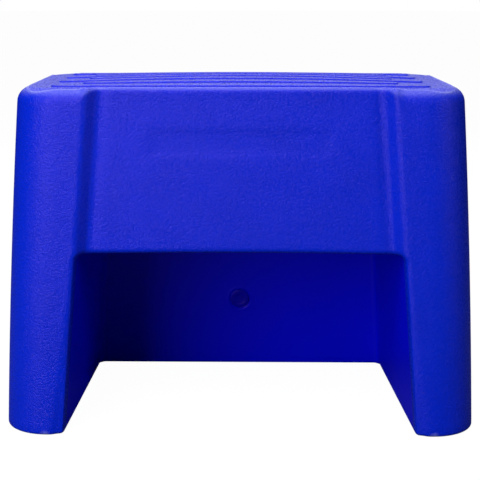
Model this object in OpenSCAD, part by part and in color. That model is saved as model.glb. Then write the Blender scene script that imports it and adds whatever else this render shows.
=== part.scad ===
// One-step mounting block: a hollow polyethylene moulding with a cave below its tread,
// and the push-in plug that closes the vent hole in the cave's back wall.
// Origin: the middle of the footprint, on the floor. +X right, +Y back, +Z up. Millimetres.

/* [Overall] */
// Width across the feet
base_w = 555; // [470:1:680]
// Depth across the feet
base_d = 308; // [260:1:400]
// Height of the tread's rim above the floor
tread_h = 400; // [320:1:490]
// Rise of the tread's middle above its rim
crown = 5.7; // [0.5:0.1:8]
// Lean of the outer walls from upright, in degrees
draft = 3; // [1:0.25:5]
// Outward bow of the outer walls at mid-height
bow = 1.5; // [0:0.5:4]
// Thickness of the moulded wall
wall = 4; // [3:0.5:6]

/* [Edges] */
// Radius of the four upright corners
corner_r = 53; // [30:1:80]
// Radius of the rounded rim round the tread
rim_r = 17; // [6:1:20]
// Radius of the edge under the feet
foot_r = 4; // [2:0.5:8]

/* [Front] */
// Distance between the two pillars at the floor
mouth_w = 410; // [330:1:450]
// Lean of each pillar's inner edge towards the middle, in degrees
mouth_lean = 4.7; // [2:0.1:7]
// Depth of the apron behind the pillars
recess_d = 12; // [6:1:18]
// Width of the slanted step from a pillar down to the apron
step_w = 11.5; // [4:0.5:14]

/* [Cave] */
// Height of the cave
cave_h = 211; // [140:1:250]
// Thickness of the hollow back wall at the floor
back_t = 27; // [22:1:60]
// Lean of the cave's back corners and back wall from upright, in degrees
cave_lean = 4; // [1:0.25:6]
// Turn of the cave's side walls towards the middle at the back, in degrees
cave_taper = 2.5; // [0:0.25:6]
// Radius of the cave's inside corners
cave_r = 7; // [4:0.5:14]

/* [Tread ribs] */
// Number of raised ribs
rib_count = 7; // [3:2:9]
// Distance from rib to rib
rib_pitch = 31; // [22:1:33]
// Width of a rib
rib_w = 16; // [8:1:20]
// Height of a rib above the tread
rib_h = 1.5; // [0.5:0.25:3]
// Length of the longer ribs, the outermost among them
rib_long = 421; // [300:1:440]
// Length of the shorter ribs between them
rib_short = 365; // [240:1:420]
// Distance of the middle rib behind the origin
rib_shift = -9; // [-10:1:10]

/* [Blank panel] */
// Width of the sunk panel on the apron
panel_w = 205; // [120:1:260]
// Height of the sunk panel
panel_h = 26; // [15:1:40]
// Height of the panel's middle above the floor
panel_z = 338; // [280:1:350]
// Depth of the sunk panel
panel_d = 0.6; // [0.3:0.1:1.5]

/* [Vent plug] */
// Height of the plug's middle above the floor
vent_z = 94; // [60:1:150]
// Diameter of the vent hole
vent_bore_d = 19; // [12:0.5:24]
// Diameter of the plug's head
plug_head_d = 25.4; // [22:0.1:32]
// Thickness of the plug's head
plug_head_t = 2; // [1.5:0.1:3]
// Gap between the plug's head and the edge of the round seat that it lies in
seat_gap = 1.8; // [0.5:0.1:4]
// Depth of that seat
seat_depth = 1.5; // [0.5:0.1:2]
// Length of the plug's stem behind its head
stem_l = 14; // [10:1:18]
// Gap between the stem and the vent hole, all round
stem_gap = 0.08; // [0.02:0.01:0.1]

/* [Hidden] */
$fn = 32;
blue = "#1a2fd0";
dark_blue = "#101f96";
front_y = -base_d / 2;
back_y = base_d / 2;
rim_z = tread_h - rim_r;
// Flat half-width and half-depth of the tread inside its rounded rim
tread_x = base_w / 2 - lean(rim_z) - rim_r;
tread_y = base_d / 2 - lean(rim_z) - rim_r;
crown_steps = 8;
past = 30;
cut_past = 2;
seat_d = plug_head_d + 2 * seat_gap;
stem_r = vent_bore_d / 2 - stem_gap;
fin_r = vent_bore_d / 2 + 1;
fin_t = 1.5;

// How far an outer wall has come in at height z, less its bow.
function lean(z) =
    let (u = min(max((z - foot_r) / (rim_z - foot_r), 0), 1))
    z * tan(draft) - 4 * bow * u * (1 - u);

// Height of the tread's surface.
function tread_z(x, y) = tread_h + crown * (1 - pow(x / tread_x, 2)) * (1 - pow(y / tread_y, 2));

// Half the distance between the pillars' inner edges at height z.
function mouth_half(z) = mouth_w / 2 - z * tan(mouth_lean);

// Half-width of the cave at its back, at height z.
function cave_back_half(z) = (mouth_w / 2 - (cave_back(0) - front_y) * tan(cave_taper)) - z * tan(cave_lean);

// Where the cave's back wall stands at height z.
function cave_back(z) = back_y - back_t - z * tan(cave_lean);

// How far the flat of the tread reaches to each side at y, inside the rounded corners.
function tread_reach(y) =
    let (r = corner_r - rim_r, into = max(0, abs(y) - (tread_y - r)))
    tread_x - r + sqrt(max(0, r * r - into * into));

// A ring whose edge is rounded above and below.
module ring(r, edge) {
    rotate_extrude() translate([r - edge, 0]) circle(edge, $fn = 16);
}

// One slice across the crowned tread.
module tread_slice(y, inset) {
    reach = tread_reach(y);
    low = [[-reach, tread_h - rim_r], [reach, tread_h - rim_r]];
    top = [for (i = [crown_steps:-1:-crown_steps]) let (x = i * reach / crown_steps) [x, tread_z(x, y) - inset]];
    translate([0, y, 0]) rotate([90, 0, 0]) linear_extrude(0.1, center = true) polygon(concat(low, top));
}

// Puts its children on the four corners' axes at height z, with the front pair moved back by setback.
module at_corners(z, setback) {
    x = base_w / 2 - corner_r - lean(z);
    y = base_d / 2 - corner_r - lean(z);
    for (side = [-1, 1]) {
        translate([side * x, y, z]) children();
        translate([side * x, setback - y, z]) children();
    }
}

// The leaning block with rounded corners, rim and feet, every face moved in by inset.
module block(inset, setback) {
    rim = max(rim_r - inset, 2);
    foot = max(foot_r - inset, 2);
    top_z = tread_h - inset - rim;
    foot_z = inset + foot;
    hull() {
        at_corners(foot_z, setback) ring(corner_r - inset, foot);
        for (u = [0.25, 0.5, 0.75]) at_corners(foot_z + u * (top_z - foot_z), setback) cylinder(r = corner_r - inset, h = 0.1);
        at_corners(top_z, setback) ring(corner_r - inset, rim);
        for (t = [-1:0.25:1]) tread_slice(max(t * (tread_y - 0.1), setback - tread_y), inset);
    }
}

// The space between the pillars, grown by grow and cut a little deeper than the apron's face.
module front_recess(grow) {
    hull() for (z = [-past, tread_h + past]) {
        edge = mouth_half(z) + grow;
        floor_y = front_y + z * tan(draft) + recess_d + grow + cut_past;
        translate([0, 0, z]) linear_extrude(0.1)
            polygon([
                [-edge - step_w, floor_y - recess_d * 2], [edge + step_w, floor_y - recess_d * 2],
                [edge, floor_y - recess_d], [edge - step_w, floor_y],
                [step_w - edge, floor_y], [-edge, floor_y - recess_d]
            ]);
    }
}

// The cave, open at the front and below, grown by grow.
module cave(grow) {
    r = cave_r + grow;
    hull() for (side = [-1, 1], z = [-past, cave_h - cave_r]) {
        front_half = mouth_half(z) + past * tan(cave_taper);
        translate([side * (front_half - cave_r), front_y - past, z]) sphere(r);
        translate([side * (cave_back_half(z) - cave_r), cave_back(z) - cave_r, z]) sphere(r);
    }
}

// The block with its pillars and its apron set back between them, every face moved in by inset.
module body(inset) {
    difference() {
        block(inset, 0);
        front_recess(inset);
    }
    block(inset, recess_d);
}

module rib(y, length) {
    reach = length / 2 - rib_w / 2;
    hull() for (i = [-4:4]) {
        x = i * reach / 4;
        translate([x, y, tread_z(x, y) - rib_h])
            cylinder(r1 = (rib_w + rib_h) / 2, r2 = (rib_w - rib_h) / 2, h = 2 * rib_h, $fn = 24);
    }
}

module ribs() {
    for (i = [0:rib_count - 1])
        rib(rib_shift + (i - (rib_count - 1) / 2) * rib_pitch, i % 2 == 0 ? rib_long : rib_short);
}

// The shallow blank panel sunk into the apron.
module panel() {
    translate([0, front_y + recess_d + lean(panel_z), panel_z]) rotate([-draft, 0, 0])
        cube([panel_w, 2 * panel_d, panel_h], center = true);
}

// Puts its children on the cave's back wall at the vent, with their +Z pointing out into the cave.
module at_vent() {
    translate([0, cave_back(vent_z), vent_z]) rotate([90 + cave_lean, 0, 0]) children();
}

// Everything that the outer mould shapes: tread, pillars, apron, sides, back and feet.
module outer_shell() {
    color(blue) difference() {
        union() {
            body(0);
            ribs();
        }
        body(wall);
        cave(0);
        panel();
    }
}

// The wall that the core shapes: the cave's sides, ceiling and back, with the vent hole.
module cave_liner() {
    color(dark_blue) difference() {
        intersection() {
            cave(wall);
            body(wall);
        }
        cave(0);
        at_vent() {
            translate([0, 0, -seat_depth]) cylinder(d = seat_d, h = past);
            translate([0, 0, -past / 2]) cylinder(d = vent_bore_d, h = past);
        }
    }
}

// The push-in plug: a flat head in its seat, a stem and the fin that snaps behind the wall.
module vent_plug() {
    head_low = -seat_depth;
    fin_z = -wall - 1;
    color(blue) at_vent() rotate_extrude() polygon([
        [0, head_low - stem_l],
        [stem_r - 1.5, head_low - stem_l],
        [stem_r, head_low - stem_l + 3],
        [stem_r, fin_z - fin_t],
        [fin_r, fin_z],
        [stem_r, fin_z],
        [stem_r, head_low],
        [plug_head_d / 2, head_low],
        [plug_head_d / 2, head_low + plug_head_t - 0.5],
        [plug_head_d / 2 - 0.5, head_low + plug_head_t],
        [0, head_low + plug_head_t]
    ]);
}

outer_shell();
cave_liner();
vent_plug();
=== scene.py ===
"""A one-step mounting block: a hollow polyethylene moulding, its ribbed tread and its vent plug.

Everything is in metres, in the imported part's own frame: the origin is the middle of the footprint
on the floor, +X right, +Y back, +Z up. Run it as a script; it registers its tools and calls them.
"""

import math

import bmesh
import bpy
import numpy as np
from mathutils import Matrix, Vector


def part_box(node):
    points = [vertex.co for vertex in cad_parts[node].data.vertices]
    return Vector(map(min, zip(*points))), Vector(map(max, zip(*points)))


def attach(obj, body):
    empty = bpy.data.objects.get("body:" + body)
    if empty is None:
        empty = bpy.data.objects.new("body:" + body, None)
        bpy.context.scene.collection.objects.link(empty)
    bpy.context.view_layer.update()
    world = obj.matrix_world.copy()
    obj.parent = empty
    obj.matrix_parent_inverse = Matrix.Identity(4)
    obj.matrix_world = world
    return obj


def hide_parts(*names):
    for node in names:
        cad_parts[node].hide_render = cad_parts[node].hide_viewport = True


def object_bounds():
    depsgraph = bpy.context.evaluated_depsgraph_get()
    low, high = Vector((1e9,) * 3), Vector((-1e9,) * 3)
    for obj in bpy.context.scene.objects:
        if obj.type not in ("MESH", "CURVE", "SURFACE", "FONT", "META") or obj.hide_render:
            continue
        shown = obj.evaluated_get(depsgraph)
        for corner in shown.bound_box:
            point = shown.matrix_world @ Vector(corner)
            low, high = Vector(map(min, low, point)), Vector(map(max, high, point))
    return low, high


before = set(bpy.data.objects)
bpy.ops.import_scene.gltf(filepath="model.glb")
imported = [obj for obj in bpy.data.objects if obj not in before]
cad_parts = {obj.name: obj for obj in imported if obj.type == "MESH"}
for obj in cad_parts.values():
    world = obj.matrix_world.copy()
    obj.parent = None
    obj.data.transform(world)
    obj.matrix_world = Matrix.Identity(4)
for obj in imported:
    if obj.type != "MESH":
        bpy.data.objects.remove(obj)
CAD_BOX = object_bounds()

bl_info = {
    "name": "Mounting block",
    "version": (1, 0, 0),
    "blender": (4, 5, 0),
    "location": "View3D > Sidebar > Mounting block",
    "description": "Models a moulded one-step mounting block with a ribbed tread and a vent plug",
    "category": "Add Mesh",
}

MM = 0.001
BODY = "root"
FOOT_R = 4 * MM
DRAFT = math.radians(3)
# The outer walls lean in over the height of the feet's rounding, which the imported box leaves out.
FOOT_LEAN = FOOT_R * math.tan(DRAFT)
PLUG_LOW, PLUG_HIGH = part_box("vent_plug")
# What keeps a division from being by zero, and the distances under which two places are the same.
TINY = 1e-9
SAME = 1e-6
CUT_MERGE = 1e-7

# The crown falls away towards its ends. A small drop of the whole tread is partly made up in its middle.
CROWN_POWER = 1.35
TREAD_DROP = 0.3 * MM
DROP_MADE_UP = 0.7
# Roundings that are part of the moulding's form.
RECESS_CORNER_R = 2 * MM
PILLAR_EDGE_R = 3 * MM
APRON_EDGE_R = 6 * MM
PILLAR_FOOT_R = 18 * MM
PILLAR_FOOT_POWER = 1.3
# The apron's face curves back beside the steps.
APRON_DIP = 1.3 * MM
APRON_DIP_W = 16 * MM
# Shares of a step: where the change from apron to pillar starts, and how far it runs.
STEP_LEAD = 0.3
STEP_SPAN = 1.2
APRON_LEAD = 0.2
# The least squared slope that a point is moved by when it settles on the skin.
FLATTEST_SLOPE = 0.25

# Lengths over which the lattice's leans fade into each other.
TOP_FADE = 60 * MM
BACK_FADE = 70 * MM
FRONT_FADE = 60 * MM
# The share of the mouth's width in the middle that stays upright.
UPRIGHT_SHARE = 0.6
# Squares round the vent turn into rings inside the zone, fully round at this share of the seat.
VENT_ZONE = 34 * MM
VENT_ROUND = 0.75

# Walls of the sunk panel and of the plug's seat, the seat's lip, and the parting line's bead.
PANEL_WALL = 3 * MM
SEAT_WALL = 1.2 * MM
SEAT_LIP = 0.35 * MM
SEAT_LIP_OUT = 1.2
BEAD_HALF_W = 0.8 * MM
BEAD_SIDE = 35 * MM
BEAD_FRONT = 29.5 * MM
BEAD_BACK = 36 * MM
BEAD_BACKSTEP = 6.5 * MM
BEAD_CORNER_R = 26 * MM

# The rim's painted highlight, kept at each point: a painted highlight band down the rounding, and a painted
# highlight line along the bead.
RIM_HIGHLIGHT_ATTR = "painted_rim_highlight"
HIGHLIGHT_BAND = 0.27
HIGHLIGHT_BAND_AT = 0.26
HIGHLIGHT_BAND_SPREAD = 0.2
BEAD_HIGHLIGHT = 0.7

# Distances from an edge at which the lattice is cut, so that its rounding has enough faces.
SIDE_EDGE = [
    1.5 * MM, 3.5 * MM, 6 * MM, 8.5 * MM, 11 * MM, 12.8 * MM, 13.6 * MM, 14.2 * MM, 14.8 * MM,
    15.4 * MM, 16.2 * MM, 17.4 * MM, 20 * MM,
]
FRONT_EDGE = [
    1 * MM, 2.2 * MM, 3 * MM, 3.8 * MM, 4.6 * MM, 5.6 * MM, 6.6 * MM, 7.4 * MM, 8 * MM,
    8.6 * MM, 9.4 * MM, 11 * MM, 13.5 * MM, 17 * MM,
]
TOP_EDGE = [2 * MM, 4 * MM, 6 * MM, 8 * MM, 10 * MM, 12.5 * MM, 15 * MM, 18 * MM]
MOUTH_EDGE = [1 * MM, 2.2 * MM, 3.6 * MM, 5.2 * MM, 7 * MM, 9 * MM, 11 * MM, 13.5 * MM, 17 * MM]
CAVE_EDGE = MOUTH_EDGE[:6]
RINGS = [-7 * MM, -3 * MM, -1.4 * MM, -0.6 * MM, 0, 0.6 * MM, 1.4 * MM, 2.2 * MM, 3.4 * MM, 6 * MM, 10 * MM]
PANEL_EDGE = [-PANEL_WALL / 2, 0, PANEL_WALL / 2]
FOOT_CUTS = (0.25, 0.6, 1.1)
STEP = 8 * MM
# The cave's smoother finish, and the painted shade in its blue, start this far behind the front.
CAVE_FINISH_AND_SHADE_FROM = 17 * MM

# A rib's foot flares out, its outline lies just under the tread, and its root goes down into it.
RIB_FLARE = 0.5 * MM
RIB_FLANK = 1.1 * MM
RIB_ROOT = 1 * MM
RIB_STEPS = [0.3 * MM, 0.55 * MM, 0.8 * MM, 1.1 * MM, 2 * MM, 4 * MM]
SUNK = 0.05 * MM

# The plug's head, its stem as a share of the head's radius, and the faces round it.
HEAD_T = 2 * MM
STEM_SHARE = 0.74
STEM_L = 4 * MM
TURNS = 64

# Sizes of the surface's patterns: grain, uneven pigment, flow marks, and the nicks at the feet.
GRAIN = 2.4 * MM
BLOTCH = 45 * MM
FLOW = 6 * MM
NICK_PLACE = (0.226, 0.152, 0.0)
NICK_R = 3 * MM
NICK_END = 7 * MM
SHEEN_TINT = (0.85, 0.5, 1.0, 1.0)

# The floor lies a hair under the feet and throws back little light.
FLOOR_R = 30
FLOOR_GAP = 0.2 * MM
FLOOR_BOUNCE = (0.07, 0.07, 0.07, 1)
AIM = Vector((0, 0, 0.2))
# Name, place, width and height in metres, and watts of each soft light.
LIGHTS = [
    ("left_softbox", (-1.15, -1.9, 0.8), (1.2, 1.5), 25),
    ("right_softbox", (1.9, -0.95, 1.0), (0.3, 0.8), 7),
    ("top_softbox", (0, 0.15, 1.9), (2.4, 1.8), 16),
    ("rim_strip", (0, 0.85, 1.65), (2.4, 0.4), 11),
    ("back_softbox", (0, 2.4, 1.2), (2.6, 1.0), 7),
    ("front_softbox", (-0.7, -1.55, 2.0), (1.2, 0.8), 28),
]
# Lens and sensor in millimetres, place in metres.
VIEW_LENS = 90
VIEW_SENSOR = 36
VIEW_PLACE = (-0.0004, -1.47005, 0.5067)
VIEW_TURN = math.radians(0.9)
VIEW_PITCH = math.radians(11.75)


def length(name, about, default):
    """A size that a user would change, in metres."""
    return bpy.props.FloatProperty(
        name=name, description=about, default=default, unit="LENGTH", precision=5
    )


def angle(name, about, default):
    """An angle that a user would change."""
    return bpy.props.FloatProperty(name=name, description=about, default=default, unit="ROTATION")


def linear(hex_colour):
    """An sRGB hex colour as linear red, green, blue and alpha."""
    shares = [int(hex_colour[i:i + 2], 16) / 255 for i in (1, 3, 5)]
    return [c / 12.92 if c <= 0.04045 else ((c + 0.055) / 1.055) ** 2.4 for c in shares] + [1.0]


def colour(name, about, default):
    """A colour that a user would change, from its hex value."""
    return bpy.props.FloatVectorProperty(
        name=name, description=about, default=linear(default), subtype="COLOR", size=4, min=0, max=1
    )


class BlockSizes(bpy.types.PropertyGroup):
    """Sizes of the moulding."""

    base_w: length("Base width", "Width across the feet", CAD_BOX[1].x - CAD_BOX[0].x + 2 * FOOT_LEAN)
    base_d: length("Base depth", "Depth across the feet", CAD_BOX[1].y - CAD_BOX[0].y + 2 * FOOT_LEAN)
    tread_h: length("Rim height", "Height of the tread's rim above the floor", 400 * MM)
    crown: length("Crown", "Rise of the tread's middle above its rim", 5.7 * MM)
    draft: angle("Draft", "Lean of the outer walls from upright", DRAFT)
    bow: length("Bow", "Outward bow of the outer walls at mid-height", 1.5 * MM)
    corner_r: length("Corner radius", "Radius of the four upright corners", 53 * MM)
    rim_r: length("Rim radius", "Radius of the rounded rim along the front and back", 17 * MM)
    side_rim_r: length("Side rim radius", "Radius of the rounded rim along the sides", 17.5 * MM)
    apron_rim_r: length("Apron rim radius", "Radius of the rim along the apron's top", 5 * MM)
    foot_r: length("Foot edge radius", "Radius of the edge under the feet", FOOT_R)
    mouth_w: length("Mouth width", "Distance between the two pillars at the floor", 410 * MM)
    mouth_lean: angle("Mouth lean", "Lean of each pillar's inner edge from upright", math.radians(4.7))
    recess_d: length("Recess depth", "Depth of the apron behind the pillars", 12 * MM)
    step_w: length("Step width", "Width of the slanted step from a pillar down to the apron", 11.5 * MM)
    cave_h: length("Cave height", "Height of the cave at its sides", 210.5 * MM)
    cave_arch: length("Cave arch", "Rise of the cave's ceiling towards its middle", 2 * MM)
    back_t: length("Back thickness", "Thickness of the hollow back wall at the floor", 27 * MM)
    cave_lean: angle("Cave lean", "Lean of the cave's back wall and back corners", math.radians(4))
    cave_taper: angle("Cave taper", "Turn of the cave's side walls towards the back", math.radians(2.5))
    cave_r: length("Cave corner radius", "Radius of the cave's inside corners", 7 * MM)
    panel_w: length("Panel width", "Width of the blank sunk panel on the apron", 205 * MM)
    panel_h: length("Panel height", "Height of the sunk panel", 26 * MM)
    panel_z: length("Panel middle", "Height of the panel's middle above the floor", 338 * MM)
    panel_d: length("Panel depth", "Depth of the sunk panel", 0.4 * MM)
    bead_h: length("Bead height", "Height of the parting line's bead round the tread", 1 * MM)


class TreadSizes(bpy.types.PropertyGroup):
    """Sizes of the tread's ribs."""

    count: bpy.props.IntProperty(name="Ribs", description="Number of raised ribs", default=7, min=1)
    pitch: length("Pitch", "Distance from rib to rib", 31 * MM)
    width: length("Width", "Width of a rib", 16 * MM)
    height: length("Height", "Height of a rib above the tread", 1.5 * MM)
    long: length("Long rib", "Length of the longer ribs, the outermost among them", 430 * MM)
    short: length("Short rib", "Length of the shorter ribs between them", 365 * MM)
    shift: length("Shift", "Distance of the middle rib behind the origin", -9 * MM)


class VentSizes(bpy.types.PropertyGroup):
    """Sizes of the vent plug and of its seat."""

    height: length("Height", "Height of the plug's middle above the floor", (PLUG_LOW.z + PLUG_HIGH.z) / 2)
    head_d: length("Head diameter", "Diameter of the plug's head", PLUG_HIGH.x - PLUG_LOW.x)
    seat_d: length("Seat diameter", "Diameter of the round seat that the head lies in", 29 * MM)
    seat_depth: length("Seat depth", "Depth of that seat", 1.5 * MM)


class BlockColours(bpy.types.PropertyGroup):
    """Colours of the moulding, the plug and the stage."""

    outside: colour("Outside", "Pigment of the moulding's outer face", "#0028DA")
    # The cave's blue is a second copy of the outside's, less green and brighter, set to how the plastic
    # looks in the shaded cave: painted shade.
    inside: colour("Inside", "Pigment as it shows on the cave's smoother face", "#0008F4")
    plug: colour("Plug", "Pigment of the push-in plug", "#0002C4")
    # The pale lavender is the whitened plastic at the trimmed nicks, and the rim's painted highlight.
    scuff_and_highlight: colour("Scuff", "Stress-whitened polyethylene at a scuffed edge", "#8C93F0")
    floor: colour("Floor", "Floor of the studio", "#FFFFFF")


def roundmax(a, b, radius):
    """Distance to what is inside both a and b, with the edge between them rounded."""
    outside = np.hypot(np.maximum(a + radius, 0), np.maximum(b + radius, 0))
    return np.minimum(np.maximum(a, b), -radius) + outside


def smooth(t):
    """A smooth step from 0 to 1 as t goes from 0 to 1."""
    t = np.clip(t, 0, 1)
    return t * t * (3 - 2 * t)


def lean(s, z):
    """How far an outer wall has come in at height z: its draft, less its bow."""
    u = np.clip((z - s.foot_r) / (s.tread_h - s.rim_r - s.foot_r), 0, 1)
    return z * math.tan(s.draft) - 4 * s.bow * u * (1 - u)


def tread_level(s, x, y):
    """Height of the crowned tread at x, y."""
    inward = lean(s, s.tread_h - s.rim_r) + s.rim_r
    across = np.clip(1 - (x / (s.base_w / 2 - inward)) ** 2, 0, 1) ** CROWN_POWER
    along = np.clip(1 - (y / (s.base_d / 2 - inward)) ** 2, 0, 1)
    return s.tread_h - TREAD_DROP + (s.crown + DROP_MADE_UP * TREAD_DROP) * across * along


def mouth_half(s, z):
    """Half the distance between the pillars' inner edges at height z."""
    return s.mouth_w / 2 - z * math.tan(s.mouth_lean)


def cave_back(s, z):
    """Where the cave's back wall stands at height z."""
    return s.base_d / 2 - s.back_t - z * math.tan(s.cave_lean)


def cave_half(s, y, z):
    """Half-width of the cave at depth y and height z."""
    deep = cave_back(s, 0) + s.base_d / 2
    at_back = s.mouth_w / 2 - deep * math.tan(s.cave_taper) - z * math.tan(s.cave_lean)
    share = (y + s.base_d / 2) / deep
    return mouth_half(s, z) + share * (at_back - mouth_half(s, z))


def skin(s, p):
    """Signed distance of points from the moulding's outside, negative inside it."""
    x, y, z = np.abs(p[:, 0]), p[:, 1], p[:, 2]
    inward = lean(s, z)
    front = inward - s.base_d / 2
    corner_x = x - (s.base_w / 2 - inward - s.corner_r)
    corner_y = np.abs(y) - (s.base_d / 2 - inward - s.corner_r)
    plan = np.hypot(np.maximum(corner_x, 0), np.maximum(corner_y, 0)) - s.corner_r
    plan += np.minimum(np.maximum(corner_x, corner_y), 0)
    edge = mouth_half(s, z)
    on_pillar = smooth((x - edge + STEP_LEAD * s.step_w) / (STEP_SPAN * s.step_w))
    low = np.clip(1 - z / s.cave_h, 0, 1)
    step = ((x - edge) * s.recess_d + (y - front) * s.step_w) / math.hypot(s.recess_d, s.step_w)
    sunk = s.recess_d + APRON_DIP * smooth((x - edge + s.step_w + APRON_DIP_W) / APRON_DIP_W)
    recess = roundmax(y - front - sunk, step, RECESS_CORNER_R)
    sides = roundmax(plan, -recess, PILLAR_EDGE_R)
    ceiling = s.cave_h + s.cave_arch * (1 - (x / s.mouth_w * 2) ** 2)
    cave = roundmax(x - cave_half(s, y, z), y - cave_back(s, z), s.cave_r)
    cave = roundmax(cave, z - ceiling, s.cave_r)
    mouth_r = APRON_EDGE_R + on_pillar * (PILLAR_FOOT_R - APRON_EDGE_R) * low ** PILLAR_FOOT_POWER
    hollowed = roundmax(sides, -cave, mouth_r)
    rim_r = np.where(y < 0, s.apron_rim_r + on_pillar * (s.rim_r - s.apron_rim_r), s.rim_r)
    on_side = smooth((corner_x - corner_y) / s.corner_r + 0.5)
    rim_r = rim_r + on_side * (s.side_rim_r - s.rim_r)
    topped = roundmax(hollowed, z - tread_level(s, x, y), rim_r)
    return roundmax(topped, -z, s.foot_r)


def settled(s, p, rounds=5, nudge=0.02 * MM):
    """The points moved along the skin's own normals until they lie on it."""
    for _ in range(rounds):
        away = skin(s, p)
        slope = np.empty_like(p)
        for axis in range(3):
            shift = np.zeros(3)
            shift[axis] = nudge
            slope[:, axis] = (skin(s, p + shift) - skin(s, p - shift)) / (2 * nudge)
        steep = np.maximum((slope ** 2).sum(axis=1), FLATTEST_SLOPE)
        p = p - (away / steep)[:, None] * slope
    return p


def shaped(s, vent, p):
    """The square lattice's points brought near to where the moulding's skin will be."""
    x, y, z = np.abs(p[:, 0]), p[:, 1].copy(), p[:, 2].copy()
    side = np.sign(p[:, 0])
    # Squares round the vent become rings.
    to_vent = z - vent.height
    square = np.maximum(x, np.abs(to_vent))
    ring = np.maximum(np.hypot(x, to_vent), TINY)
    share = 1 + smooth((VENT_ZONE - square) / (VENT_ZONE - VENT_ROUND * vent.seat_d)) * (square / ring - 1)
    share = np.where(square < VENT_ZONE, share, 1)
    x, z = x * share, vent.height + to_vent * share
    # Square corners become round in plan.
    half_w, half_d, r = s.base_w / 2, s.base_d / 2, s.corner_r
    into_x, into_y = x - half_w + r, np.abs(y) - half_d + r
    corner = (into_x > 0) & (into_y > 0)
    share = np.where(corner, np.maximum(into_x, into_y) / np.maximum(np.hypot(into_x, into_y), TINY), 1)
    x = np.where(corner, half_w - r + into_x * share, x)
    deep = np.sign(y)
    flat_y = y
    y = np.where(corner, deep * (half_d - r + into_y * share), y)
    # Walls lean, and the mouth and the cave narrow upwards and backwards.
    inward = lean(s, z)
    upright = UPRIGHT_SHARE * s.mouth_w / 2
    to_mouth = np.clip((x - upright) / (s.mouth_w / 2 - upright), 0, 1)
    to_wall = np.clip((x - s.mouth_w / 2) / (half_w - r - s.mouth_w / 2), 0, 1)
    x = x + to_mouth * (1 - to_wall) * (cave_half(s, y, z) - s.mouth_w / 2) - to_wall * inward
    low_z = np.minimum(z, s.cave_h)
    extra = (low_z * math.tan(s.cave_lean) - lean(s, low_z)) * np.clip(1 - (z - low_z) / TOP_FADE, 0, 1)
    back = cave_back(s, 0)
    before, behind = (flat_y - back + BACK_FADE) / BACK_FADE, (half_d - flat_y) / s.back_t
    near_back = np.where(flat_y < back, before, behind)
    y = y - deep * inward * np.clip(np.abs(flat_y) / (half_d - r), 0, 1)
    y = y - extra * np.clip(near_back, 0, 1) * (1 - to_wall)
    # The apron stands back between the pillars.
    recessed = np.clip((mouth_half(s, z) - x) / s.step_w, 0, 1)
    y = y + s.recess_d * recessed * np.clip(1 - (flat_y + half_d) / FRONT_FADE, 0, 1)
    up = np.clip((z - s.cave_h) / (s.tread_h - s.cave_h), 0, 1)
    z = z + up * (tread_level(s, x, y) - s.tread_h)
    return np.stack([side * x, y, z], axis=1)


def detailed(s, vent, p):
    """The sunk panel and the plug's round seat pressed into the settled skin."""
    p = p.copy()
    x, y, z = np.abs(p[:, 0]), p[:, 1], p[:, 2]
    on_panel = smooth((s.panel_w / 2 - x) / PANEL_WALL + 0.5)
    on_panel = on_panel * smooth((s.panel_h / 2 - np.abs(z - s.panel_z)) / PANEL_WALL + 0.5)
    p[:, 1] += s.panel_d * on_panel * (y < lean(s, z) - s.base_d / 2 + 2 * s.recess_d)
    in_cave = (y < s.base_d / 2 - s.back_t / 2) & (y > 0)
    seat = np.hypot(x, z - vent.height) - vent.seat_d / 2
    p[:, 1] += in_cave * vent.seat_depth * smooth(0.5 - seat / SEAT_WALL)
    p[:, 1] -= in_cave * SEAT_LIP * np.exp(-((seat / SEAT_WALL - SEAT_LIP_OUT) ** 2))
    apron = beside_apron(s, p)
    bead = s.bead_h * (1 - 4 * apron * (1 - apron)) * np.exp(-((to_bead(s, p) / BEAD_HALF_W) ** 2))
    p[:, 2] += bead * (z > s.tread_h - s.rim_r)
    return p


def beside_apron(s, p):
    """1 along the front between the pillars, 0 elsewhere, with a slope across the step beside a pillar."""
    into = (mouth_half(s, s.tread_h) - np.abs(p[:, 0])) / s.step_w
    return smooth(into + APRON_LEAD) * (p[:, 1] < 0)


def rim_painted_highlight(s, p):
    """How much painted highlight each point gets: a painted highlight line along the parting line's bead,
    and a painted highlight band down the rim's rounding.
    """
    rim_r = s.rim_r + beside_apron(s, p) * (s.apron_rim_r - s.rim_r)
    drop = (tread_level(s, p[:, 0], p[:, 1]) - p[:, 2]) / rim_r
    # Painted highlight: a band down the rim's rounding, and a line along the bead.
    highlight_band = HIGHLIGHT_BAND * np.exp(-(((drop - HIGHLIGHT_BAND_AT) / HIGHLIGHT_BAND_SPREAD) ** 2))
    bead_highlight = BEAD_HIGHLIGHT * np.exp(-((to_bead(s, p) / BEAD_HALF_W) ** 2)) * (p[:, 2] > s.tread_h - s.rim_r)
    return np.minimum(highlight_band + bead_highlight, 1)


def to_bead(s, p):
    """Distance in plan from the bead that the mould's parting line leaves round the tread."""
    x, y = np.abs(p[:, 0]), p[:, 1]
    half_w, front, back = s.base_w / 2 - BEAD_SIDE, BEAD_FRONT - s.base_d / 2, s.base_d / 2 - BEAD_BACK
    front = front + beside_apron(s, p) * BEAD_BACKSTEP
    out_x = x - half_w + BEAD_CORNER_R
    out_y = np.maximum(front - y, y - back) + BEAD_CORNER_R
    outside = np.hypot(np.maximum(out_x, 0), np.maximum(out_y, 0))
    return outside + np.minimum(np.maximum(out_x, out_y), 0) - BEAD_CORNER_R


def spaced(marks, step):
    """The marks in order, with evenly spaced numbers between them no further apart than step."""
    marks = sorted(marks)
    found = []
    for low, high in zip(marks, marks[1:]):
        parts = max(1, math.ceil((high - low) / step - 0.01))
        found += [low + (high - low) * i / parts for i in range(parts)]
    return found + [marks[-1]]


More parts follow.
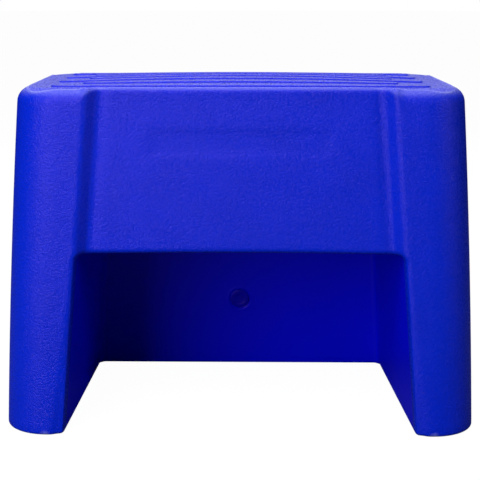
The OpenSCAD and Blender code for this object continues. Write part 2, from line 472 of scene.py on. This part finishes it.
def cut(bm, axis, places):
    """Cuts the mesh across an axis at each place."""
    normal = Vector((0, 0, 0))
    normal[axis] = 1
    for place in places:
        whole = bm.verts[:] + bm.edges[:] + bm.faces[:]
        bmesh.ops.bisect_plane(bm, geom=whole, dist=CUT_MERGE, plane_co=normal * place, plane_no=normal)


def lattice(s, vent):
    """The moulding as a square-edged block on a lattice of cuts, with its cave open in front and below."""
    half_w, half_d, half_mouth = s.base_w / 2, s.base_d / 2, s.mouth_w / 2
    back = half_d - s.back_t
    rings = [vent.seat_d / 2 + r for r in RINGS]
    panel = [s.panel_w / 2 + r for r in PANEL_EDGE]
    x_half = [0, half_mouth, half_w - s.corner_r] + rings + panel
    x_half += [half_mouth + r for r in MOUTH_EDGE] + [half_mouth - r for r in MOUTH_EDGE]
    x_half += [half_w - r for r in SIDE_EDGE]
    x_places = spaced(x_half, STEP)
    z_marks = [0, s.cave_h, s.tread_h, vent.height] + [vent.height + r for r in rings]
    z_marks += [vent.height - r for r in rings] + [s.tread_h - r for r in TOP_EDGE]
    z_marks += [s.foot_r * share for share in FOOT_CUTS]
    z_marks += [s.cave_h + r for r in CAVE_EDGE] + [s.cave_h - r for r in CAVE_EDGE]
    z_marks += [s.panel_z + sign * s.panel_h / 2 + r for sign in (-1, 1) for r in PANEL_EDGE]
    z_places = spaced(z_marks, STEP)
    y_marks = [-half_d, half_d, back, half_d - s.corner_r, s.corner_r - half_d]
    y_marks += [r - half_d for r in FRONT_EDGE] + [half_d - r for r in SIDE_EDGE]
    y_marks += [back - r for r in CAVE_EDGE]
    y_places = spaced(y_marks, STEP)

    bm = bmesh.new()
    stand = Matrix.Translation((0, half_d, s.tread_h / 2)) @ Matrix.Rotation(math.radians(90), 4, "X")
    size = Matrix.Diagonal((s.base_w, s.tread_h, 1, 1))
    bmesh.ops.create_grid(bm, x_segments=1, y_segments=1, size=0.5, matrix=stand @ size)
    cut(bm, 0, [-x for x in x_places[1:-1]] + x_places[:-1])
    cut(bm, 2, z_places[1:-1])
    move_on(bm, bm.faces[:], back - half_d, keep=True)
    beside = [f for f in bm.faces if abs(f.calc_center_median().y - back) < SAME and not in_mouth(s, f)]
    move_on(bm, beside, -half_d - back)
    cut(bm, 1, y_places[1:-1])
    bmesh.ops.recalc_face_normals(bm, faces=bm.faces)
    for face in bm.faces:
        middle = face.calc_center_median()
        in_cave = abs(middle.x) < half_mouth + MM / 10 and middle.z < s.cave_h + MM / 10
        # Faces inside the cave take the second material: the smoother finish and the painted-shade blue.
        if in_cave and CAVE_FINISH_AND_SHADE_FROM - half_d < middle.y < back + MM / 10:
            face.material_index = 1
    return bm


def in_mouth(s, face):
    """Whether a face of the lattice lies in the cave's mouth, seen from the front."""
    middle = face.calc_center_median()
    return abs(middle.x) < s.mouth_w / 2 and middle.z < s.cave_h


def move_on(bm, faces, distance, keep=False):
    """Extrudes faces along Y. The faces where they were stay if keep is set."""
    made = bmesh.ops.extrude_face_region(bm, geom=faces, use_keep_orig=True)
    verts = [g for g in made["geom"] if isinstance(g, bmesh.types.BMVert)]
    bmesh.ops.translate(bm, vec=(0, distance, 0), verts=verts)
    if not keep:
        bmesh.ops.delete(bm, geom=faces, context="FACES")


def add_piece(name, bm, material):
    """Links a finished mesh as a smooth piece that rides on the block, and returns its object."""
    mesh = bpy.data.meshes.new(name)
    bm.to_mesh(mesh)
    bm.free()
    mesh.shade_smooth()
    mesh.materials.append(material)
    piece = bpy.data.objects.new(name, mesh)
    bpy.context.scene.collection.objects.link(piece)
    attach(piece, BODY)
    return piece


def must_be_closed(bm, name):
    """Stops the script if a mesh has an open or a crowded edge."""
    loose = [e for e in bm.edges if len(e.link_faces) != 2]
    if loose:
        raise RuntimeError(f"{name} has {len(loose)} edges without exactly two faces")


def add(tree, kind, settings=None, links=None):
    """Adds a node with its settings, inputs given as values or as sockets, and returns it."""
    node = tree.nodes.new(kind)
    for name, value in (settings or {}).items():
        setattr(node, name, value)
    for name, value in (links or {}).items():
        if isinstance(value, bpy.types.NodeSocket):
            tree.links.new(value, node.inputs[name])
        else:
            node.inputs[name].default_value = value
    return node


def new_material(name):
    """An empty material with its output, and the tree that holds them."""
    material = bpy.data.materials.new(name)
    material.use_nodes = True
    material.node_tree.nodes.clear()
    return material, material.node_tree, add(material.node_tree, "ShaderNodeOutputMaterial")


def textured_polyethylene(colours):
    """Moulded polyethylene off a blasted mould: satin, its fine grain glittering where light grazes it."""
    material, tree, output = new_material("textured_polyethylene")
    place = add(tree, "ShaderNodeTexCoord").outputs["Object"]
    grain = add(tree, "ShaderNodeTexNoise", links={
        "Vector": place, "Scale": 1 / GRAIN, "Detail": 3.0, "Roughness": 0.65})
    blotch = add(tree, "ShaderNodeTexNoise", links={
        "Vector": place, "Scale": 1 / BLOTCH, "Detail": 3.0, "Roughness": 0.5})
    bump = add(tree, "ShaderNodeBump", links={
        "Height": grain.outputs["Fac"], "Strength": 1.0, "Distance": 1.0 * MM})
    rough = add(tree, "ShaderNodeMapRange", links={
        "Value": grain.outputs["Fac"], "From Min": 0.38, "From Max": 0.62, "To Min": 0.18, "To Max": 0.38})
    shade = add(tree, "ShaderNodeMapRange", links={
        "Value": blotch.outputs["Fac"], "From Min": 0.3, "From Max": 0.7, "To Min": 0.96, "To Max": 1.03})
    tint = add(tree, "ShaderNodeVectorMath", {"operation": "SCALE"}, {
        0: colours.outside[:3], "Scale": shade.outputs["Result"]})
    # The blade that trimmed the flash off the feet left a pale nick at each front corner.
    folded = add(tree, "ShaderNodeVectorMath", {"operation": "ABSOLUTE"}, {0: place})
    to_nick = add(tree, "ShaderNodeVectorMath", {"operation": "DISTANCE"}, {
        0: folded.outputs["Vector"], 1: NICK_PLACE})
    near = add(tree, "ShaderNodeMapRange", links={
        "Value": to_nick.outputs["Value"], "From Min": NICK_R, "From Max": NICK_END,
        "To Min": 1.0, "To Max": 0.0})
    nicked = add(tree, "ShaderNodeMath", {"operation": "MULTIPLY"}, {
        0: near.outputs["Result"], 1: grain.outputs["Fac"]})
    # The rim's painted highlight, kept on the mesh, and the trimmed nicks both turn the pigment towards the
    # pale lavender.
    rim_highlight_paint = add(tree, "ShaderNodeAttribute", {"attribute_name": RIM_HIGHLIGHT_ATTR})
    nick_and_highlight = add(tree, "ShaderNodeMath", {"operation": "ADD", "use_clamp": True}, {
        0: nicked.outputs["Value"], 1: rim_highlight_paint.outputs["Fac"]})
    pigment = add(tree, "ShaderNodeMix", {"data_type": "RGBA"}, {
        0: nick_and_highlight.outputs["Value"], 6: tint.outputs["Vector"], 7: colours.scuff_and_highlight})
    shader = add(tree, "ShaderNodeBsdfPrincipled", links={
        "Base Color": pigment.outputs[2], "Roughness": rough.outputs["Result"], "IOR": 1.5,
        "Specular IOR Level": 0.33, "Specular Tint": SHEEN_TINT, "Normal": bump.outputs["Normal"]})
    tree.links.new(shader.outputs["BSDF"], output.inputs["Surface"])
    return material


def smooth_polyethylene(name, pigment):
    """Polyethylene off a polished mould or core: even, with a soft sheen and faint flow marks."""
    material, tree, output = new_material(name)
    place = add(tree, "ShaderNodeTexCoord").outputs["Object"]
    flow = add(tree, "ShaderNodeTexNoise", links={"Vector": place, "Scale": 1 / FLOW, "Detail": 2.0})
    bump = add(tree, "ShaderNodeBump", links={
        "Height": flow.outputs["Fac"], "Strength": 0.2, "Distance": 0.2 * MM})
    rough = add(tree, "ShaderNodeMapRange", links={
        "Value": flow.outputs["Fac"], "To Min": 0.32, "To Max": 0.42})
    shader = add(tree, "ShaderNodeBsdfPrincipled", links={
        "Base Color": pigment, "Roughness": rough.outputs["Result"], "IOR": 1.5, "Specular IOR Level": 0.25,
        "Specular Tint": SHEEN_TINT, "Normal": bump.outputs["Normal"]})
    tree.links.new(shader.outputs["BSDF"], output.inputs["Surface"])
    return material


class Moulding(bpy.types.Operator):
    """Model the hollow moulding: pillars, apron, sides, back, feet, tread and cave."""

    bl_idname = "mounting_block.moulding"
    bl_label = "Moulding"

    def execute(self, context):
        s, vent = context.scene.block_sizes, context.scene.vent_sizes
        bm = lattice(s, vent)
        points = np.array([v.co for v in bm.verts], float)
        points = detailed(s, vent, settled(s, shaped(s, vent, points)))
        for vert, point in zip(bm.verts, points):
            vert.co = point
        must_be_closed(bm, "moulded_body")
        colours = context.scene.block_colours
        piece = add_piece("moulded_body", bm, textured_polyethylene(colours))
        # The cave's material carries the smoother finish and the painted-shade blue.
        piece.data.materials.append(smooth_polyethylene("smooth_polyethylene_cave_painted_shade", colours.inside))
        # Each point keeps how much painted highlight the rim and its bead get there.
        painted_rim_highlight = piece.data.attributes.new(RIM_HIGHLIGHT_ATTR, "FLOAT", "POINT")
        painted_rim_highlight.data.foreach_set("value", rim_painted_highlight(s, points))
        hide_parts("outer_shell", "cave_liner")
        return {"FINISHED"}


def rib_profile(depth, tread):
    """Height of a rib's surface at a depth in from its outline: a flared foot, then a rounded flank."""
    rise = smooth(depth / RIB_FLANK)
    return tread.height * rise - SUNK * (depth < SAME)


class Ribs(bpy.types.Operator):
    """Model the tread's raised ribs, long and short by turns, with round ends."""

    bl_idname = "mounting_block.ribs"
    bl_label = "Ribs"

    def execute(self, context):
        s, tread = context.scene.block_sizes, context.scene.tread_sizes
        bm = bmesh.new()
        for i in range(tread.count):
            y = tread.shift + (i - (tread.count - 1) / 2) * tread.pitch
            add_rib(bm, s, tread, y, tread.long if i % 2 == 0 else tread.short)
        must_be_closed(bm, "tread_ribs")
        add_piece("tread_ribs", bm, bpy.data.materials["textured_polyethylene"])
        return {"FINISHED"}


def add_rib(bm, s, tread, y, long):
    """Adds one rib: a gridded strip whose square rings turn round at its ends, raised by its profile."""
    rib = bmesh.new()
    half_l, half_w = long / 2 + RIB_FLARE, tread.width / 2 + RIB_FLARE
    bmesh.ops.create_grid(
        rib, x_segments=1, y_segments=1, size=0.5, matrix=Matrix.Diagonal((2 * half_l, 2 * half_w, 1, 1))
    )
    across = [half_w - d for d in RIB_STEPS] + [0]
    along = spaced([half_l - d for d in RIB_STEPS] + [0, half_l - half_w], STEP)
    cut(rib, 1, across + [-a for a in across[:-1]])
    cut(rib, 0, along + [-a for a in along if a > 0])
    bmesh.ops.recalc_face_normals(rib, faces=rib.faces)
    if sum(f.normal.z for f in rib.faces) < 0:
        bmesh.ops.reverse_faces(rib, faces=rib.faces)
    for v in rib.verts:
        end = abs(v.co.x) - (half_l - half_w)
        depth = min(half_l - abs(v.co.x), half_w - abs(v.co.y))
        if end > 0:
            ring = max(end, abs(v.co.y))
            share = ring / max(math.hypot(end, v.co.y), TINY)
            v.co.x = math.copysign(half_l - half_w + end * share, v.co.x)
            v.co.y *= share
        v.co.y += y
        v.co.z = tread_level(s, v.co.x, v.co.y) + rib_profile(depth, tread)
    rim = [e for e in rib.edges if e.is_boundary]
    made = bmesh.ops.extrude_edge_only(rib, edges=rim)
    low = [g for g in made["geom"] if isinstance(g, bmesh.types.BMVert)]
    bmesh.ops.translate(rib, vec=(0, 0, -RIB_ROOT), verts=low)
    bmesh.ops.holes_fill(rib, edges=[e for e in rib.edges if e.is_boundary])
    bmesh.ops.recalc_face_normals(rib, faces=rib.faces)
    spare = bpy.data.meshes.new("rib")
    rib.to_mesh(spare)
    rib.free()
    bm.from_mesh(spare)
    bpy.data.meshes.remove(spare)


class Plug(bpy.types.Operator):
    """Model the push-in plug that closes the vent in the cave's back wall."""

    bl_idname = "mounting_block.plug"
    bl_label = "Vent plug"

    def execute(self, context):
        s, vent = context.scene.block_sizes, context.scene.vent_sizes
        r, seat = vent.head_d / 2, -vent.seat_depth
        top = seat + HEAD_T
        stem_top = seat + 0.1 * MM
        # Out from the axis and up: the head's sunk middle, its raised ring and its edge, then the stem.
        outline = [
            (0, top - 0.5 * MM), (0.5 * r, top - 0.5 * MM),
            (0.56 * r, top - 0.35 * MM), (0.62 * r, top - 0.05 * MM),
            (0.7 * r, top), (r - 0.9 * MM, top),
            (r - 0.3 * MM, top - 0.2 * MM), (r, top - 0.7 * MM),
            (r, stem_top), (STEM_SHARE * r, stem_top),
            (STEM_SHARE * r, seat - STEM_L), (0, seat - STEM_L),
        ]
        bm = bmesh.new()
        verts = [bm.verts.new((out, 0, up)) for out, up in outline]
        edges = [bm.edges.new(pair) for pair in zip(verts, verts[1:])]
        bmesh.ops.spin(
            bm, geom=verts + edges, cent=(0, 0, 0), axis=(0, 0, 1), dvec=(0, 0, 0), angle=math.tau,
            steps=TURNS, use_merge=True, use_duplicate=False
        )
        bmesh.ops.remove_doubles(bm, verts=bm.verts, dist=SAME)
        bmesh.ops.recalc_face_normals(bm, faces=bm.faces)
        turn = Matrix.Rotation(math.radians(90) + s.cave_lean, 4, "X")
        stand = Matrix.Translation((0, cave_back(s, vent.height), vent.height))
        bmesh.ops.transform(bm, matrix=stand @ turn, verts=bm.verts)
        must_be_closed(bm, "vent_plug_detailed")
        material = smooth_polyethylene("smooth_polyethylene_plug", context.scene.block_colours.plug)
        piece = add_piece("vent_plug_detailed", bm, material)
        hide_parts("vent_plug")
        return {"FINISHED"}


class Stage(bpy.types.Operator):
    """Set up the pale floor, the soft lights and the camera."""

    bl_idname = "mounting_block.stage"
    bl_label = "Stage"

    def execute(self, context):
        bm = bmesh.new()
        bmesh.ops.create_circle(bm, cap_ends=True, segments=96, radius=FLOOR_R)
        bmesh.ops.translate(bm, vec=(0, 0, -FLOOR_GAP), verts=bm.verts)
        mesh = bpy.data.meshes.new("floor")
        bm.to_mesh(mesh)
        bm.free()
        floor = bpy.data.objects.new("floor", mesh)
        context.scene.collection.objects.link(floor)
        mesh.materials.append(pale_floor(context.scene.block_colours))
        white_surround(context.scene)
        for name, place, size, power in LIGHTS:
            add_light(name, Vector(place), size, power)
        add_camera(context.scene)
        context.scene.view_settings.view_transform = "Standard"
        return {"FINISHED"}


def add_light(name, place, size, power):
    """Adds one rectangular soft light that faces the block."""
    light = bpy.data.lights.new(name, "AREA")
    light.shape = "RECTANGLE"
    light.size, light.size_y = size
    light.energy = power
    lamp = bpy.data.objects.new(name, light)
    bpy.context.scene.collection.objects.link(lamp)
    lamp.location = place
    lamp.rotation_euler = (AIM - place).to_track_quat("-Z", "Y").to_euler()


def pale_floor(colours):
    """Matt studio paper that shows white and throws little light back up at the block."""
    material, tree, output = new_material("white_studio_paper")
    dim = add(tree, "ShaderNodeBsdfDiffuse", links={"Color": FLOOR_BOUNCE})
    paper = add(tree, "ShaderNodeBsdfDiffuse", links={"Color": colours.floor})
    glow = add(tree, "ShaderNodeEmission", links={"Color": colours.floor, "Strength": 1.03})
    shown = add(tree, "ShaderNodeMixShader", links={
        "Fac": 0.95, 1: paper.outputs["BSDF"], 2: glow.outputs["Emission"]})
    seen = add(tree, "ShaderNodeLightPath").outputs["Is Camera Ray"]
    mix = add(tree, "ShaderNodeMixShader", links={
        "Fac": seen, 1: dim.outputs["BSDF"], 2: shown.outputs["Shader"]})
    tree.links.new(mix.outputs["Shader"], output.inputs["Surface"])
    return material


def white_surround(scene):
    """A white surround that lights the block only a little."""
    world = bpy.data.worlds.new("surround")
    world.use_nodes = True
    tree = world.node_tree
    tree.nodes.clear()
    seen = add(tree, "ShaderNodeLightPath").outputs["Is Camera Ray"]
    strength = add(tree, "ShaderNodeMapRange", links={"Value": seen, "To Min": 0.03, "To Max": 1.0})
    background = add(tree, "ShaderNodeBackground", links={
        "Color": (1, 1, 1, 1), "Strength": strength.outputs["Result"]})
    output = add(tree, "ShaderNodeOutputWorld")
    tree.links.new(background.outputs["Background"], output.inputs["Surface"])
    scene.world = world


def add_camera(scene):
    """A short telephoto camera in front of the block, looking down on it a little."""
    camera = bpy.data.cameras.new("camera")
    camera.lens = VIEW_LENS
    camera.sensor_width = VIEW_SENSOR
    view = bpy.data.objects.new("camera", camera)
    scene.collection.objects.link(view)
    # The camera points a little to the left of the block, which the shift of its frame makes up for.
    camera.shift_x = math.tan(VIEW_TURN) * camera.lens / camera.sensor_width
    view.location = VIEW_PLACE
    view.rotation_euler = (math.radians(90) - VIEW_PITCH, 0, VIEW_TURN)
    scene.camera = view


class MountingBlockPanel(bpy.types.Panel):
    """Lists the block's tools, sizes and colours."""

    bl_idname = "VIEW3D_PT_mounting_block"
    bl_label = "Mounting block"
    bl_space_type = "VIEW_3D"
    bl_region_type = "UI"
    bl_category = "Mounting block"

    def draw(self, context):
        for tool in TOOLS:
            self.layout.operator(tool.bl_idname)
        for group in GROUPS:
            box = self.layout.box()
            for name in GROUPS[group].__annotations__:
                box.prop(getattr(context.scene, group), name)


TOOLS = (Moulding, Ribs, Plug, Stage)
GROUPS = {
    "block_sizes": BlockSizes,
    "tread_sizes": TreadSizes,
    "vent_sizes": VentSizes,
    "block_colours": BlockColours,
}


def register():
    """Registers the property groups, the tools and the panel."""
    for name, group in GROUPS.items():
        bpy.utils.register_class(group)
        setattr(bpy.types.Scene, name, bpy.props.PointerProperty(type=group))
    for tool in TOOLS + (MountingBlockPanel,):
        bpy.utils.register_class(tool)


def unregister():
    """Takes everything that register added away again."""
    for tool in reversed(TOOLS + (MountingBlockPanel,)):
        bpy.utils.unregister_class(tool)
    for name, group in GROUPS.items():
        delattr(bpy.types.Scene, name)
        bpy.utils.unregister_class(group)


def main():
    """Builds the block and its stage."""
    register()
    bpy.ops.mounting_block.moulding()
    bpy.ops.mounting_block.ribs()
    bpy.ops.mounting_block.plug()
    bpy.ops.mounting_block.stage()


if __name__ == "__main__":
    main()
